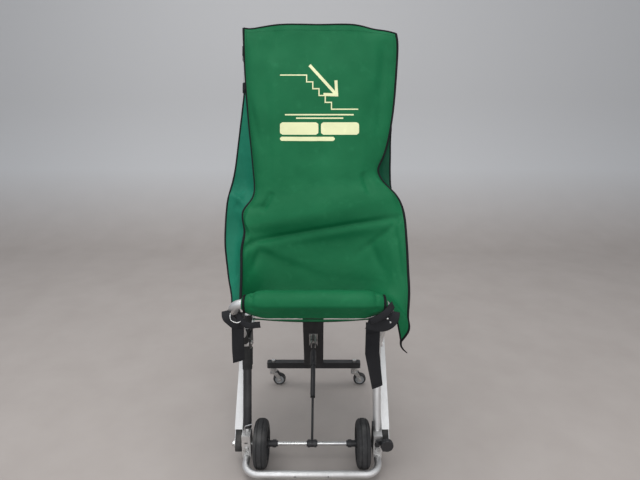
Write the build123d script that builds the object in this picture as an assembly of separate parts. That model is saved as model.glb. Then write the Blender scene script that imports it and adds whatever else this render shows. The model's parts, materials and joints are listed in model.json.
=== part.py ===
from build123d import *
from math import atan2, cos, degrees, hypot, radians, sin, tan
import os

# Folding stair chair: aluminium frame, two belt tracks, two front wheels, castor stand, hammock seat.
#
# Millimetres, +Z up, the sitter faces -Y and +X is on the left hand of the sitter. The design is laid
# out around the front axle (Y = 0) and moved at the end, so that the origin is the bottom centre of
# the bounding box.

# Driving dimensions
WHEEL_R = 76.0              # six inch front wheels
WHEEL_X = 160.0
AXLE_R = 6.0
AXLE_Z = WHEEL_R
AXLE_HALF = 247.0
CAP_NUT_END = 252.5         # half of the overall width
FIT = 0.05                  # radial clearance of a running fit
CLEAR = 0.35                # gap between curved faces of different bodies

TUBE_R = 12.5               # main tubes, cross tubes and seat tube
TUBE_WALL = 2.0
MAIN_X = 204.0
MAIN_FOOT = (10.0, 120.0)   # lower end of a main tube, in Y and Z
MAIN_LEAN = 17.0            # lean of the main tubes from the vertical, to the rear
MAIN_START = 6.0            # the tubes stop just above their brackets
MAIN_LENGTH = 1244.0

BRACKET_X0 = 191.5
BRACKET_X1 = 218.5
BRACKET_WALL = 2.0

RAIL_X0 = 219.0
RAIL_X1 = 243.0
RAIL_WALL = 2.0
RAIL_SLOPE = 49.16          # slope of the tracks above the floor
RAIL_START = 40.0
RAIL_END = 824.0
RAIL_FRONT = 28.0           # front face, from the centre line of the track
RAIL_BACK = 20.0            # rear edge of the side walls
PULLEY_AT = 800.0           # upper pulley, along the track
PULLEY_R = 20.0
BELT = 4.0                  # belt thickness
BELT_W = 18.0
TRACK_FOLD = 22.0
CROSS_BACK = 30.0           # cross tubes of the track, behind its centre line
LOWER_CROSS_AT = 443.0
UPPER_CROSS_AT = 600.0

STAY_Z = 444.0              # height of the stay bolts in the main tubes
STAY_X0 = 184.0
STAY_X1 = 189.0
STAY_PIN_R = 4.0

STAND_Y = 436.0             # castor swivel axes, behind the front axle
CROSSBAR = 25.0
CROSSBAR_HALF = 187.0
CROSSBAR_BOTTOM = 79.0
CASTOR_X = 163.0
CASTOR_R = 25.0
CASTOR_TRAIL = 23.0
POST_WIDTH = 76.0
POST_DEPTH = 20.0
STAND_FOLD = 45.0

STRUT_PIN = (-26.0, -170.0)  # top pin of the gas strut, in the stand's own Y and Z
STRUT_ROD_R = 4.0
STRUT_BODY_R = 8.5
STRUT_BODY_START = 163.0
STRUT_ROD_END = 225.0

SEAT_PIVOT = (62.0, 400.0)
SEAT_FRONT = (-120.0, 613.0)
SEAT_X = 205.0
SEAT_BEND = 38.0
ROLL_R = 39.0
ROLL_HALF = 183.0

BACK_TOP = (352.0, 1338.0)  # front face of the back fabric
BACK_FOOT = (128.0, 745.0)
BACK_X0 = -222.0
BACK_X1 = 250.0
FABRIC = 9.0

HANDLE_BACK = 28.0          # handle legs, behind the main tubes
HANDLE_R = 10.0
HANDLE_FOOT = 800.0
HANDLE_TOP = 1245.0

FOOT_BAR_R = 11.0
FOOT_BAR_X = 205.0
FOOT_BAR_FRONT = (-84.0, 35.0)
FOOT_BAR_BACK = (-2.0, 42.0)

KNOB = (230.0, 102.0)       # locking knob, in X and Z

STRAP = 2.0                 # thickness of the webbing
STRAP_HANG = (-104.0, 552.0)


# Helpers
def block(x0, x1, y0, y1, z0, z1):
    """Box between two corners."""
    corner = Pos((x0 + x1) / 2, (y0 + y1) / 2, (z0 + z1) / 2)
    return corner * Box(abs(x1 - x0), abs(y1 - y0), abs(z1 - z0))


def rod(start, end, radius, bore=0.0):
    """Round bar, or tube when it has a bore, between two points."""
    start, end = Vector(*start), Vector(*end)
    plane = Plane(origin=start, z_dir=end - start)
    length = (end - start).length
    solid = extrude(plane * Circle(radius), length)
    if bore:
        solid -= extrude(plane * Circle(bore), length)
    return solid


def across(x0, x1, y, z, radius, bore=0.0):
    """Round bar or ring with its axis along X."""
    return rod((x0, y, z), (x1, y, z), radius, bore)


def bent_tube(points, bend, radius, bore=0.0):
    """Tube along straight runs joined by arcs."""
    path = FilletPolyline(*points, radius=bend)
    plane = Plane(origin=path @ 0, z_dir=path % 0)
    solid = sweep(plane * Circle(radius), path=path)
    if bore:
        solid -= sweep(plane * Circle(bore), path=path)
    return solid


def side_plate(points, x0, x1):
    """Plate with a polygon outline in Y and Z, between two X values."""
    face = make_face(Polyline(*points, close=True))
    return extrude(Plane.YZ.offset(min(x0, x1)) * face, abs(x1 - x0))


def turned(points):
    """Solid of revolution about the X axis from an outline of (x, radius) points."""
    face = make_face(Polyline(*[(x, 0, r) for x, r in points], close=True))
    return revolve(face, axis=Axis.X, revolution_arc=360)


def local(y, z, angle):
    """Frame at a point of the side view whose Y axis is turned up by an angle in degrees."""
    return Pos(0, y, z) * Rot(X=angle)


def both(make):
    """The same piece on the two sides, as separate solids of one node."""
    return Compound(children=[make(-1), make(1)])


def hexagon(x0, x1, y, z, radius):
    """Hexagon head or nut with its axis along X, from x0 to x1."""
    plane = Plane(origin=(x0, y, z), z_dir=(x1 - x0, 0, 0))
    return extrude(plane * RegularPolygon(radius, 6), abs(x1 - x0))


# Frames of reference
MAIN = local(*MAIN_FOOT, 90 - MAIN_LEAN)      # Y runs up the main tube, Z points forward
RAIL = local(0, AXLE_Z, RAIL_SLOPE)           # Y runs up the track, Z points forward and up


def on_rail(along, out):
    """Side view point at a distance along the track and out from its centre line."""
    slope = radians(RAIL_SLOPE)
    y = along * cos(slope) - out * sin(slope)
    return y, AXLE_Z + along * sin(slope) + out * cos(slope)


def on_main(along, out):
    """Side view point at a distance up the main tube and out in front of its centre line."""
    lean = radians(MAIN_LEAN)
    y = MAIN_FOOT[0] + along * sin(lean) - out * cos(lean)
    return y, MAIN_FOOT[1] + along * cos(lean) + out * sin(lean)


STAND_PIVOT = on_rail(LOWER_CROSS_AT, -CROSS_BACK)
STAND_FOOT = (STAND_Y, CROSSBAR_BOTTOM + CROSSBAR / 2)
STAND_LEAN = degrees(atan2(STAND_FOOT[0] - STAND_PIVOT[0], STAND_PIVOT[1] - STAND_FOOT[1]))
STAND_LENGTH = hypot(STAND_FOOT[0] - STAND_PIVOT[0], STAND_PIVOT[1] - STAND_FOOT[1])
STAND = local(*STAND_PIVOT, STAND_LEAN)       # Z runs up the post, Y points to the rear


def strut_pin(fold):
    """Side view place of the strut's top pin when the stand has folded by an angle in degrees."""
    turn = radians(STAND_LEAN - fold)
    y, z = STRUT_PIN
    return STAND_PIVOT[0] + y * cos(turn) - z * sin(turn), STAND_PIVOT[1] + y * sin(turn) + z * cos(turn)


def strut_line(fold):
    """Length and slope in degrees of the strut from the axle to its top pin."""
    y, z = strut_pin(fold)
    return hypot(y, z - AXLE_Z), degrees(atan2(z - AXLE_Z, y))


STRUT_LENGTH, STRUT_SLOPE = strut_line(0)
STRUT_FOLDED, STRUT_FOLDED_SLOPE = strut_line(STAND_FOLD)
STRUT = local(0, AXLE_Z, STRUT_SLOPE)         # Y runs up the strut

# The stay is as long as its bolt is far from the axle, so it turns exactly twice as far as the track.
STAY_FOOT = (MAIN_FOOT[0] + (STAY_Z - MAIN_FOOT[1]) * tan(radians(MAIN_LEAN)), STAY_Z)
STAY_LENGTH = hypot(STAY_FOOT[0], STAY_FOOT[1] - AXLE_Z)
STAY_ANGLE = degrees(atan2(STAY_FOOT[1] - AXLE_Z, STAY_FOOT[0]))
STAY_REACH = 2 * STAY_LENGTH * cos(radians(STAY_ANGLE - RAIL_SLOPE))
STAY_REACH_FOLDED = 2 * STAY_LENGTH * cos(radians(STAY_ANGLE - RAIL_SLOPE - TRACK_FOLD))
STAY_SLOPE = 2 * RAIL_SLOPE - STAY_ANGLE


# Main frame
def main_tube(side):
    foot = (side * MAIN_X, *on_main(MAIN_START, 0))
    top = (side * MAIN_X, *on_main(MAIN_LENGTH, 0))
    tube = rod(foot, top, TUBE_R, TUBE_R - TUBE_WALL)
    return tube - across(side * 180, side * 225, *STAY_FOOT, 4.0)


def cross_tube(along):
    """Tube between the main tubes, coped to their inner sides."""
    y, z = on_main(along, 0)
    tube = across(-MAIN_X, MAIN_X, y, z, 10.0, 8.0)
    for side in (-1, 1):
        ends = (side * MAIN_X, *on_main(along - 40, 0)), (side * MAIN_X, *on_main(along + 40, 0))
        tube -= rod(*ends, TUBE_R)
    return tube


def sleeve(start, end, outer):
    """Soft tube around the left main tube."""
    return rod((-MAIN_X, *on_main(start, 0)), (-MAIN_X, *on_main(end, 0)), outer, TUBE_R)


def grip_sleeve():
    """Stepped foam grip on the left main tube, flat beside the track and notched for the seat lug."""
    grip = sleeve(206, 320, 17.0) + sleeve(192, 206, 15.5)
    grip -= block(-225, -218.2, 0, 200, 300, 460)
    return grip - block(-192.8, -180, 0, 200, 366, 460)


def bracket(side):
    """Channel that joins a main tube, the axle and the foot bar, with a spigot up into the tube."""
    outline = [(-22, 40), (6, 40), (26, 62), (26, 110), (16, 120), (-22, 120)]
    channel = side_plate(outline, side * BRACKET_X0, side * BRACKET_X1)
    inner = side * (BRACKET_X0 + BRACKET_WALL), side * (BRACKET_X1 - BRACKET_WALL)
    channel -= block(*inner, -19, 40, 30, 115)
    spigot = rod((side * MAIN_X, *on_main(-2, 0)), (side * MAIN_X, *on_main(34, 0)), TUBE_R - TUBE_WALL)
    channel += spigot
    middle = side * FOOT_BAR_X
    channel -= block(middle - 5, middle + 5, -23, -18, 92, 97)
    leg = (middle, *FOOT_BAR_FRONT), (middle, *FOOT_BAR_BACK)
    channel -= rod(*leg, FOOT_BAR_R)
    return channel - across(side * 180, side * 225, 0, AXLE_Z, AXLE_R)


def front_axle():
    return across(-AXLE_HALF, AXLE_HALF, 0, AXLE_Z, AXLE_R)


def cap_nut(side):
    """Domed nut on the end of the axle, outside the lower pulley."""
    nut = hexagon(side * 243.4, side * 248, 0, AXLE_Z, 9.5)
    dome = across(side * 248, side * CAP_NUT_END, 0, AXLE_Z, 7.0)
    dome = fillet(dome.edges().sort_by(Axis.X)[-1 if side > 0 else 0], 2.5)
    return nut + dome - front_axle()


def axle_collars():
    """Stepped spacer collars that keep the wheels, the strut eye and the brackets apart."""
    rings = []
    for side in (-1, 1):
        for x0, x1, radius in ((6.3, 14, 12), (14, 17, 9), (108, 113, 9), (113, 124, 12), (124, 137.6, 10)):
            rings.append(across(side * x0, side * x1, 0, AXLE_Z, radius, AXLE_R))
        rings.append(across(side * 182.4, side * 187.4, 0, AXLE_Z, 10.5, AXLE_R))
    return Compound(children=rings)


def foot_bar():
    """Bent lifting bar across the front, a little above the floor."""
    front_y, front_z = FOOT_BAR_FRONT
    back_y, back_z = FOOT_BAR_BACK
    points = [(-FOOT_BAR_X, back_y, back_z), (-FOOT_BAR_X, front_y, front_z)]
    points += [(FOOT_BAR_X, front_y, front_z), (FOOT_BAR_X, back_y, back_z)]
    bar = bent_tube(points, 42, FOOT_BAR_R, FOOT_BAR_R - 2)
    for x in (-50, 50):
        bar -= rod((x, front_y - 20, front_z), (x, front_y, front_z), 2.6)
    return bar


def bracket_screw(side):
    """Screws through the front of the bracket into the foot bar, on a raised washer."""
    middle = side * FOOT_BAR_X
    boss = rod((middle, -22, 71), (middle, -27, 71), 8.5, 2.6)
    return boss + rod((middle, -22, 58), (middle, -25, 58), 4.5, 1.6)


def seat_lug(side):
    """Plate from the inner side of the main tube forward to the seat pivot."""
    y, z = SEAT_PIVOT
    outline = [(y - 14, z - 14), (y + 48, z - 30), (y + 54, z + 26), (y - 14, z + 14)]
    plate = side_plate(outline, side * 188.4, side * 192.2)
    plate -= rod((side * MAIN_X, *on_main(200, 0)), (side * MAIN_X, *on_main(400, 0)), TUBE_R)
    return plate - across(side * 180, side * 220, y, z, STAY_PIN_R)


def seat_pivot_bolt(side):
    head = hexagon(side * 184.0, side * 188.4, *SEAT_PIVOT, 7.5)
    return head + across(side * 188.4, side * 217, *SEAT_PIVOT, STAY_PIN_R)


def stay_bolt(side):
    """Bolt through the main tube that the stay turns on."""
    head = hexagon(side * (STAY_X0 - 4.4), side * (STAY_X0 - 0.4), *STAY_FOOT, 8.0)
    return head + across(side * (STAY_X0 - 0.4), side * 217, *STAY_FOOT, 4.0)


def handle_clamp(side, along):
    """Block on the rear of the main tube that the handle leg slides through."""
    x0, x1 = side * (MAIN_X - 15.5), side * (MAIN_X + 15.5)
    clamp = block(x0, x1, along - 15, along + 15, -HANDLE_BACK - 15, 2)
    clamp = fillet(clamp.edges().filter_by(Axis.Y), 3)
    tube = rod((side * MAIN_X, along - 20, 0), (side * MAIN_X, along + 20, 0), TUBE_R)
    leg_path = (side * MAIN_X, along - 20, -HANDLE_BACK), (side * MAIN_X, along + 20, -HANDLE_BACK)
    return MAIN * (clamp - tube - rod(*leg_path, HANDLE_R + FIT))


def brake_wire():
    """Bent wire catch on the left bracket."""
    points = [(-207, -15, 120), (-207, -15, 152), (-184, -15, 160)]
    return bent_tube(points, 6, 1.6)


def wheel_guard():
    """Thin upright plate between the right wheel and its bracket."""
    plate = side_plate([(-12, 66), (12, 66), (14, 150), (-2, 160), (-12, 150)], 187.8, 191.2)
    return plate - across(180, 200, 0, AXLE_Z, AXLE_R)


def knob_arm():
    """Black arm on the front of the right bracket that carries the locking knob."""
    arm = block(198, 238, -31, -26.5, 94, 110)
    arm = fillet(arm.edges().filter_by(Axis.Y), 5)
    arm += block(200, 213, -26.5, -22, 97, 107)
    arm += rod((201, -31, 99), (201, -37, 99), 8)
    return arm - rod((KNOB[0], -50, KNOB[1]), (KNOB[0], -20, KNOB[1]), 3 + FIT)


def lock_knob():
    """Round scalloped knob that turns about a line along Y."""
    x, z = KNOB
    knob = rod((x, -31.5, z), (x, -46, z), 20)
    knob = fillet(knob.edges().filter_by(GeomType.CIRCLE), 2.5)
    for turn in range(8):
        place = Pos(x, 0, z) * Rot(Y=turn * 45 + 22) * Pos(23.5, 0, 0)
        knob -= place * rod((0, -50, 0), (0, -30, 0), 5)
    return knob + rod((x, -31.5, z), (x, -26.9, z), 3)


def back_fabric():
    """Plain slab that holds the place of the stretched back fabric."""
    (y0, z0), (y1, z1) = BACK_TOP, BACK_FOOT
    outline = [(y0, z0), (y1, z1), (y1 + FABRIC, z1), (y0 + FABRIC, z0)]
    return side_plate(outline, BACK_X0, BACK_X1)


def sling():
    """Slack lower part of the hammock, between the back fabric and the seat."""
    y1, z1 = BACK_FOOT
    front = [(y1, z1 - 0.5), (84, 648), (58, 590), (24, 556.5)]
    rear = [(y + 7, z - 2) for y, z in front]
    rear[0] = (y1 + FABRIC, z1 - 0.5)
    return side_plate(front + rear[::-1], -180, 180)


# Front wheels
def tyre(side):
    """Solid rubber tyre with two grooves and tapered shoulders."""
    half = [(3, 76), (6, 75.7), (6.6, 73.2), (9, 73), (9.6, 75), (14.5, 72.5), (19, 67), (21, 60), (21, 50)]
    return Pos(side * WHEEL_X, 0, AXLE_Z) * turned(half + [(-x, r) for x, r in reversed(half)])


def rim(side):
    """Wheel centre with a hub that turns on the axle."""
    bore = AXLE_R + FIT
    half = [(17, 50), (12, 46), (5, 40), (6, 22), (10, 15), (22, 15), (22, bore)]
    return Pos(side * WHEEL_X, 0, AXLE_Z) * turned(half + [(-x, r) for x, r in reversed(half)])


# Belt tracks
def track_rail(side):
    """Aluminium channel, open to the rear, with ears at the axle and a slot for the stay."""
    inner = side * (RAIL_X0 + RAIL_WALL), side * (RAIL_X1 - RAIL_WALL)
    outer = side * RAIL_X0, side * RAIL_X1
    rail = block(*outer, RAIL_START, RAIL_END, -RAIL_BACK, RAIL_FRONT)
    rail += block(*outer, 0, RAIL_START, -15, 15) + across(*outer, 0, 0, 15)
    rail -= block(*inner, -30, RAIL_END + 1, -RAIL_BACK - 1, RAIL_FRONT - RAIL_WALL)
    rail -= across(side * 210, side * 250, 0, 0, AXLE_R + FIT)
    rail -= across(side * 210, side * 250, PULLEY_AT, 0, STAY_PIN_R)
    gap = STAY_PIN_R + CLEAR
    wall = side * (RAIL_X0 - 1), side * (RAIL_X0 + RAIL_WALL + 1)
    slot = block(*wall, STAY_REACH, STAY_REACH_FOLDED, -gap, gap)
    slot += across(*wall, STAY_REACH, 0, gap) + across(*wall, STAY_REACH_FOLDED, 0, gap)
    return RAIL * (rail - slot)


def track_belt(side):
    """Rubber loop round both pulleys, with cleats along its lower run."""
    middle = side * (RAIL_X0 + RAIL_X1) / 2
    edges = middle - BELT_W / 2, middle + BELT_W / 2
    outer, inner = PULLEY_R + BELT, PULLEY_R + CLEAR
    belt = block(*edges, 0, PULLEY_AT, -outer, outer)
    belt += across(*edges, 0, 0, outer) + across(*edges, PULLEY_AT, 0, outer)
    belt -= block(*edges, 0, PULLEY_AT, -inner, inner)
    belt -= across(*edges, 0, 0, inner) + across(*edges, PULLEY_AT, 0, inner)
    for along in range(30, 790, 24):
        belt += block(*edges, along, along + 8, -outer - 3, -outer)
    return RAIL * belt


def pulley(side, along):
    """Belt pulley that turns on the axle or on its own pin."""
    bore = (AXLE_R if along == 0 else STAY_PIN_R) + FIT
    half = [(8.6, PULLEY_R), (8.6, 16), (5, 14), (5, 10), (9.6, 10), (9.6, bore)]
    y, z = on_rail(along, 0)
    wheel = turned(half + [(-x, r) for x, r in reversed(half)])
    return Pos(side * (RAIL_X0 + RAIL_X1) / 2, y, z) * wheel


def pulley_pin(side):
    y, z = on_rail(PULLEY_AT, 0)
    return across(side * RAIL_X0, side * RAIL_X1, y, z, STAY_PIN_R) + hexagon(
        side * RAIL_X1, side * (RAIL_X1 + 4), y, z, 7)


def rail_end_cap(side):
    """Black cap over the upper end of the channel."""
    cap = block(side * RAIL_X0, side * RAIL_X1, RAIL_END, RAIL_END + 4, -RAIL_BACK, RAIL_FRONT)
    return RAIL * fillet(cap.edges().filter_by(Axis.Y), 3)


def track_cross_tube(along):
    """Tube behind the two tracks with an end plate on each inner wall."""
    tube = across(-RAIL_X0, RAIL_X0, along, -CROSS_BACK, TUBE_R)
    for side in (-1, 1):
        tube += block(side * 215, side * RAIL_X0, along - 18, along + 18, -44, -3)
    return RAIL * (tube - across(-RAIL_X0, RAIL_X0, along, -CROSS_BACK, TUBE_R - TUBE_WALL))


def pivot_collar(side):
    """Ring that keeps the castor stand in the middle of its cross tube."""
    return across(side * 38.4, side * 46, *STAND_PIVOT, 16, TUBE_R)


def stay(side):
    """Flat stay from the main tube to the slot in the track, with its sliding pin."""
    faces = side * STAY_X0, side * STAY_X1
    bar = block(*faces, 0, STAY_LENGTH, -9, 9) + across(*faces, 0, 0, 9) + across(*faces, STAY_LENGTH, 0, 9)
    bar -= across(*faces, 0, 0, STAY_PIN_R + FIT)
    bar += across(side * STAY_X1, side * 214, STAY_LENGTH, 0, 6.5)
    bar += across(side * 214, side * 224, STAY_LENGTH, 0, STAY_PIN_R)
    return local(*STAY_FOOT, STAY_SLOPE) * bar


# Castor stand
def crossbar_box(half, wall=0.0):
    inset = CROSSBAR / 2 - wall
    y, z = STAND_FOOT
    return block(-half, half, y - inset, y + inset, z - inset, z + inset)


def stand_post():
    """Flat box post that turns on the lower cross tube of the tracks."""
    half = POST_WIDTH / 2
    post = block(-half, half, -POST_DEPTH / 2, POST_DEPTH / 2, -STAND_LENGTH, 0)
    post += across(-half, half, 0, 0, 17)
    post -= block(-half + 3, half - 3, -POST_DEPTH / 2 + 3, POST_DEPTH / 2 - 3, -STAND_LENGTH, -22)
    post -= across(-half, half, 0, 0, TUBE_R + FIT)
    return STAND * post - crossbar_box(CROSSBAR_HALF)


def stand_crossbar():
    bar = crossbar_box(CROSSBAR_HALF - 4) - crossbar_box(CROSSBAR_HALF, 2.5)
    for side in (-1, 1):
        bar -= rod((side * CASTOR_X, STAND_Y, 70), (side * CASTOR_X, STAND_Y, 110), 5)
    return bar


def crossbar_cap(side):
    y, z = STAND_FOOT
    half = CROSSBAR / 2
    cap = block(side * (CROSSBAR_HALF - 4), side * CROSSBAR_HALF, y - half, y + half, z - half, z + half)
    cap = fillet(cap.edges().filter_by(Axis.X), 3)
    return cap + block(side * (CROSSBAR_HALF - 14), side * (CROSSBAR_HALF - 4), y - 9, y + 9, z - 9, z + 9)


def castor_bolt(side):
    """Stem bolt through the crossbar, with the fixed upper race under it."""
    x = side * CASTOR_X
    bolt = rod((x, STAND_Y, 60), (x, STAND_Y, 104), 5)
    head = extrude(Plane((x, STAND_Y, 104)) * RegularPolygon(8.5, 6), 7)
    race = rod((x, STAND_Y, 76.5), (x, STAND_Y, CROSSBAR_BOTTOM), 14)
    return bolt + head + race


def castor_fork(side):
    """Zinc fork that swivels on the stem bolt; its wheel trails to one side."""
    x, y = side * CASTOR_X, STAND_Y
    fork = rod((0, 0, 58), (0, 0, 76.2), 13) + block(-13, 14, -13.2, 13.2, 56, 60)
    outline = [
        (-13, 60), (-13, 54), (2, 51), (15, 33), (14, 20), (20, 15), (28, 16), (32, 24), (24, 46), (14, 60)]
    for inner in (-13.2, 10.6):
        face = make_face(Polyline(*[(px, pz) for px, pz in outline], close=True))
        fork += extrude(Plane.XZ.offset(-inner - 2.6) * face, 2.6)
    fork += rod((CASTOR_TRAIL, -15, CASTOR_R), (CASTOR_TRAIL, 15, CASTOR_R), 4)
    for end in (-1, 1):
        fork += rod((CASTOR_TRAIL, end * 13.2, CASTOR_R), (CASTOR_TRAIL, end * 16, CASTOR_R), 6)
    return Pos(x, y, 0) * (fork - rod((0, 0, 50), (0, 0, 80), 5 + FIT))


def castor_part(side, half):
    """Part of a castor wheel from the outline of one half."""
    place = Pos(side * CASTOR_X + CASTOR_TRAIL, STAND_Y, CASTOR_R) * Rot(Z=90)
    return place * turned(half + [(-x, r) for x, r in reversed(half)])


def castor_tyre(side):
    return castor_part(side, [(5, CASTOR_R), (8.6, 22.5), (9, 17.5)])


def castor_rim(side):
    return castor_part(side, [(8.5, 17.5), (6, 15), (5.5, 10), (10, 8), (10, 4 + FIT)])


# Gas strut
def strut_clevis():
    """Slotted bracket on the front of the post; the strut's top pin rides in its slot."""
    y, z = STRUT_PIN
    face = -POST_DEPTH / 2
    clevis = block(-16, 16, face - 2, face, z - 20, z + 46)
    for side in (-1, 1):
        outline = [(face, z - 14), (y - 6, z - 10), (y - 11, z - 2), (y - 11, z + 30), (face, z + 42)]
        clevis += side_plate(outline, side * 5, side * 9)
    return STAND * (clevis - block(-12, 12, y - 6.4, y + 7.8, z - 4.4, z + 24.2))


def strut_rod():
    """Piston rod with the eye that turns on the axle."""
    piston = rod((0, 8, 0), (0, STRUT_ROD_END, 0), STRUT_ROD_R)
    piston += across(-6, 6, 0, 0, 11) + rod((0, STRUT_ROD_END - 8, 0), (0, STRUT_ROD_END, 0), 6.5)
    return STRUT * (piston - across(-6, 6, 0, 0, AXLE_R + FIT))


def strut_cylinder():
    """Gas cylinder with a thicker sleeve, a tongue and the top pin."""
    end = STRUT_LENGTH - 26
    body = rod((0, STRUT_BODY_START, 0), (0, end, 0), STRUT_BODY_R)
    body += rod((0, 288, 0), (0, end - 6, 0), STRUT_BODY_R + 2)
    body += block(-4, 4, end - 2, STRUT_LENGTH, -7, 7) + across(-4, 4, STRUT_LENGTH, 0, 7)
    body += across(-13, 13, STRUT_LENGTH, 0, STRUT_ROD_R)
    for side in (-1, 1):
        body += across(side * 10, side * 12, STRUT_LENGTH, 0, 6.5)
    body -= rod((0, STRUT_BODY_START + 8, 0), (0, end - 10, 0), STRUT_BODY_R - 1)
    return STRUT * (body - rod((0, 150, 0), (0, 200, 0), STRUT_ROD_R + FIT))


# Seat
def seat_tube():
    """Bent tube that carries the front of the hammock and swings on the two seat pivots."""
    points = [(-SEAT_X, *SEAT_PIVOT), (-SEAT_X, *SEAT_FRONT), (SEAT_X, *SEAT_FRONT), (SEAT_X, *SEAT_PIVOT)]
    tube = bent_tube(points, SEAT_BEND, TUBE_R, TUBE_R - TUBE_WALL)
    for side in (-1, 1):
        hub = across(side * (SEAT_X - 12.2), side * (SEAT_X + 12.2), *SEAT_PIVOT, 13.2)
        tube = tube + hub - across(side * (SEAT_X - 20), side * (SEAT_X + 20), *SEAT_PIVOT, STAY_PIN_R + FIT)
    return tube


def on_arm(along, out):
    """Side view point on a seat arm, measured back from its front corner."""
    reach = hypot(SEAT_PIVOT[0] - SEAT_FRONT[0], SEAT_PIVOT[1] - SEAT_FRONT[1])
    back = (SEAT_PIVOT[0] - SEAT_FRONT[0]) / reach, (SEAT_PIVOT[1] - SEAT_FRONT[1]) / reach
    return SEAT_FRONT[0] + along * back[0] + out * back[1], SEAT_FRONT[1] + along * back[1] - out * back[0]


def seat_roll():
    """Padded roll round the front of the seat tube."""
    roll = across(-ROLL_HALF + 4, ROLL_HALF + 5, *SEAT_FRONT, ROLL_R)
    roll = fillet(roll.edges().filter_by(GeomType.CIRCLE), 8)
    points = [(-SEAT_X, *SEAT_PIVOT), (-SEAT_X, *SEAT_FRONT), (SEAT_X, *SEAT_FRONT), (SEAT_X, *SEAT_PIVOT)]
    return roll - bent_tube(points, SEAT_BEND, TUBE_R + 0.1)


def seat_panel():
    """Seat part of the hammock, behind the roll."""
    outline = [(-82, 599), (-40, 567), (23, 556), (22, 549), (-43, 559), (-86, 591)]
    return side_plate(outline, -180, 180)


def seat_clamp(side):
    """Black clamp round a seat arm, with the lug that the webbing hangs from."""
    ends = (side * SEAT_X, *on_arm(46, 0)), (side * SEAT_X, *on_arm(66, 0))
    ring = rod(*ends, TUBE_R + 4)
    y, z = STRAP_HANG
    lug = side_plate([(y + 6, z + 3), (y + 6, z + 14), (-84, 572), (-74, 560)], side * 178, side * 208)
    clamp = ring + lug
    return clamp - rod((side * SEAT_X, *on_arm(30, 0)), (side * SEAT_X, *on_arm(90, 0)), TUBE_R)


def strap(x_top, x_bottom, width, length, curl):
    """Hanging webbing with a slanted end, drawn as one flat band that leans to one side."""
    y, z = STRAP_HANG
    half = width / 2
    outline = [(x_top - half, z), (x_top - half, z - 0.6 * length), (x_bottom - half, z - length)]
    outline += [(x_bottom + half, z - length + curl), (x_top + half, z - 0.6 * length), (x_top + half, z)]
    face = make_face(Polyline(*outline, close=True))
    return extrude(Plane.XZ.offset(-y) * face, STRAP)


# Handle
def handle():
    """Telescopic operator's handle behind the main tubes."""
    points = [(-MAIN_X, HANDLE_FOOT, -HANDLE_BACK), (-MAIN_X, HANDLE_TOP, -HANDLE_BACK)]
    points += [(MAIN_X, HANDLE_TOP, -HANDLE_BACK), (MAIN_X, HANDLE_FOOT, -HANDLE_BACK)]
    return MAIN * bent_tube(points, 45, HANDLE_R, HANDLE_R - 1.5)


def handle_grip():
    return MAIN * across(-110, 110, HANDLE_TOP, -HANDLE_BACK, 14.5, HANDLE_R)


def pieces():
    """Every node of the chair by name."""
    nodes = {
        "main_cross_tubes": Compound(children=[cross_tube(760), cross_tube(1225)]),
        "tube_cover": sleeve(MAIN_START + 1, 192, TUBE_R + 0.8),
        "grip_sleeve": grip_sleeve(),
        "front_axle": front_axle(),
        "axle_cap_nuts": both(cap_nut),
        "axle_collars": axle_collars(),
        "foot_bar": foot_bar(),
        "bracket_screws": both(bracket_screw),
        "seat_lugs": both(seat_lug),
        "pivot_bolts": Compound(
            children=[make(side) for make in (seat_pivot_bolt, stay_bolt) for side in (-1, 1)]),
        "handle_clamps": Compound(
            children=[handle_clamp(side, along) for side in (-1, 1) for along in (1000, 1180)]),
        "wire_catch": brake_wire(),
        "wheel_guard": wheel_guard(),
        "knob_arm": knob_arm(),
        "lock_knob": lock_knob(),
        "back_fabric": back_fabric(),
        "sling": sling(),
        "track_cross_tubes": Compound(
            children=[track_cross_tube(along) for along in (LOWER_CROSS_AT, UPPER_CROSS_AT)]),
        "pulley_pins": both(pulley_pin),
        "rail_end_caps": both(rail_end_cap),
        "pivot_collars": both(pivot_collar),
        "stand_post": stand_post(),
        "stand_crossbar": stand_crossbar(),
        "crossbar_caps": both(crossbar_cap),
        "castor_bolts": both(castor_bolt),
        "strut_clevis": strut_clevis(),
        "strut_rod": strut_rod(),
        "strut_cylinder": strut_cylinder(),
        "seat_tube": seat_tube(),
        "seat_roll": seat_roll(),
        "seat_panel": seat_panel(),
        "seat_clamps": both(seat_clamp),
        "strap_left": strap(-193, -196, 32, 122, 14),
        "strap_right": strap(178, 196, 46, 205, 22),
        "handle": handle(),
        "handle_grip": handle_grip(),
    }
    for name, side in (("left", -1), ("right", 1)):
        nodes["main_tube_" + name] = main_tube(side)
        nodes["bracket_" + name] = bracket(side)
        nodes["front_tyre_" + name] = tyre(side)
        nodes["front_rim_" + name] = rim(side)
        nodes["track_rail_" + name] = track_rail(side)
        nodes["track_belt_" + name] = track_belt(side)
        nodes["lower_pulley_" + name] = pulley(side, 0)
        nodes["upper_pulley_" + name] = pulley(side, PULLEY_AT)
        nodes["stay_" + name] = stay(side)
        nodes["castor_fork_" + name] = castor_fork(side)
        nodes["castor_tyre_" + name] = castor_tyre(side)
        nodes["castor_rim_" + name] = castor_rim(side)
    return nodes


nodes = pieces()
whole = Compound(children=[Compound(children=[*piece.solids()]) for piece in nodes.values()]).bounding_box()
ORIGIN = Vector((whole.min.X + whole.max.X) / 2, (whole.min.Y + whole.max.Y) / 2, whole.min.Z)
os.makedirs("parts", exist_ok=True)
for name, piece in nodes.items():
    export_step(Pos(-ORIGIN) * piece, f"parts/{name}.step")
print(len(nodes), "nodes, size", whole.size, "origin", ORIGIN)
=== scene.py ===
"""Looks of the folding stair chair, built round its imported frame. Metres, +Z up, the sitter faces -Y."""
import json
import math
import bpy
import numpy as np
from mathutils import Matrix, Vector, noise
from mathutils.bvhtree import BVHTree


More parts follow.
